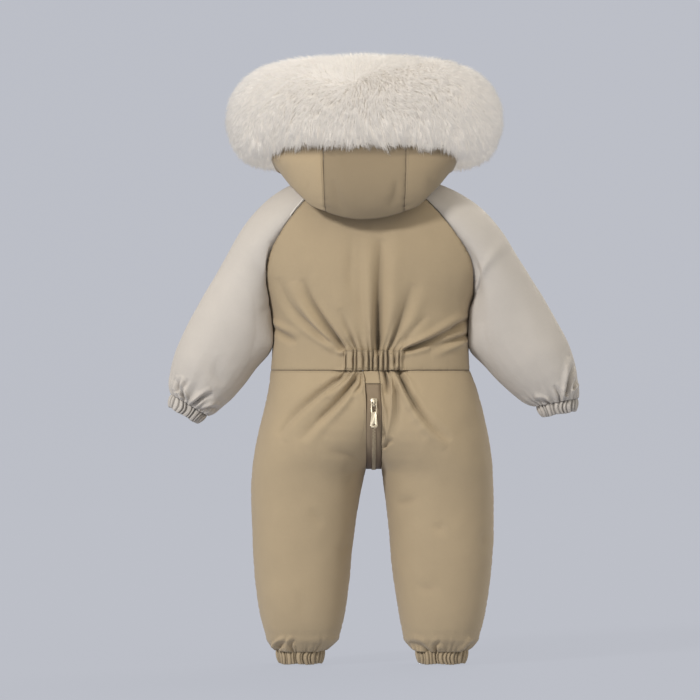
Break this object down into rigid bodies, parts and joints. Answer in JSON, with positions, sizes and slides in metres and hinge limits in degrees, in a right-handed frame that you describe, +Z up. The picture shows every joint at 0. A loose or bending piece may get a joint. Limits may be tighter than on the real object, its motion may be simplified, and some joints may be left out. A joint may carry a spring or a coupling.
{
  "type": "toddler snowsuit",
  "caption": "Padded toddler snowsuit with raglan sleeves, a fur-trimmed hood, a zip that runs through the crotch, and gathered waist, cuffs and ankles.",
  "frame": {"origin": "middle of the wearer's shoulder line, inside the neck opening", "axes": "+Z up the standing suit, +Y out of the chest, so the back faces -Y; the node names' left lies towards -X"},
  "size_m": [0.6326, 0.2837, 0.9352],
  "materials": {
    "back_bodice": "fine woven shell, khaki, matt with a slight sheen",
    "front_bodice_left": "fine woven shell, khaki, matt with a slight sheen",
    "front_bodice_right": "fine woven shell, khaki, matt with a slight sheen",
    "waist_elastic": "fine woven shell, khaki, matt with a slight sheen",
    "trouser_back_left": "fine woven shell, khaki, matt with a slight sheen",
    "trouser_back_right": "fine woven shell, khaki, matt with a slight sheen",
    "trouser_front_left": "fine woven shell, khaki, matt with a slight sheen",
    "trouser_front_right": "fine woven shell, khaki, matt with a slight sheen",
    "back_zip_tab": "fine woven shell, khaki, matt with a slight sheen",
    "hood_left": "fine woven shell, khaki, matt with a slight sheen",
    "hood_centre": "fine woven shell, khaki, matt with a slight sheen",
    "hood_right": "fine woven shell, khaki, matt with a slight sheen",
    "ankle_left": "fine woven shell, khaki, matt with a slight sheen",
    "ankle_right": "fine woven shell, khaki, matt with a slight sheen",
    "sleeve_left": "fine woven shell, pale warm grey, matt with a slight sheen",
    "sleeve_right": "fine woven shell, pale warm grey, matt with a slight sheen",
    "cuff_left": "fine woven shell, pale warm grey, matt with a slight sheen",
    "cuff_right": "fine woven shell, pale warm grey, matt with a slight sheen",
    "fur_trim": "long soft pile, off-white with darker tips",
    "zip_tape_back": "woven tape, matt",
    "zip_tape_front": "woven tape, matt",
    "slider_back": "pale gold plating, satin",
    "slider_front": "pale gold plating, satin",
    "pull_back": "pale gold plating, satin",
    "pull_front": "pale gold plating, satin"
  },
  "bodies": {
    "suit": {"back_bodice": "back_bodice", "front_bodice_left": "front_bodice_left", "front_bodice_right": "front_bodice_right", "waist_elastic": "waist_elastic", "trouser_back_left": "trouser_back_left", "trouser_back_right": "trouser_back_right", "trouser_front_left": "trouser_front_left", "trouser_front_right": "trouser_front_right", "back_zip_tab": "back_zip_tab", "hood_left": "hood_left", "hood_centre": "hood_centre", "hood_right": "hood_right", "ankle_left": "ankle_left", "ankle_right": "ankle_right", "sleeve_left": "sleeve_left", "sleeve_right": "sleeve_right", "cuff_left": "cuff_left", "cuff_right": "cuff_right", "fur_trim": "fur_trim", "zip_tape_back": "zip_tape_back", "zip_tape_front": "zip_tape_front", "slider_back": "slider_back", "slider_front": "slider_front"},
    "back_pull": {"pull_back": "pull_back"},
    "front_pull": {"pull_front": "pull_front"}
  },
  "joints": [
    {"name": "back_pull_turn", "type": "hinge", "parent": "suit", "child": "back_pull", "pos_m": [0.00095, -0.12155, -0.30865], "axis": [-1, 0, 0], "range_deg": [0, 150]},
    {"name": "front_pull_turn", "type": "hinge", "parent": "suit", "child": "front_pull", "pos_m": [-0.0102, 0.09928, -0.01351], "axis": [1, 0, 0], "range_deg": [0, 150]}
  ]
}
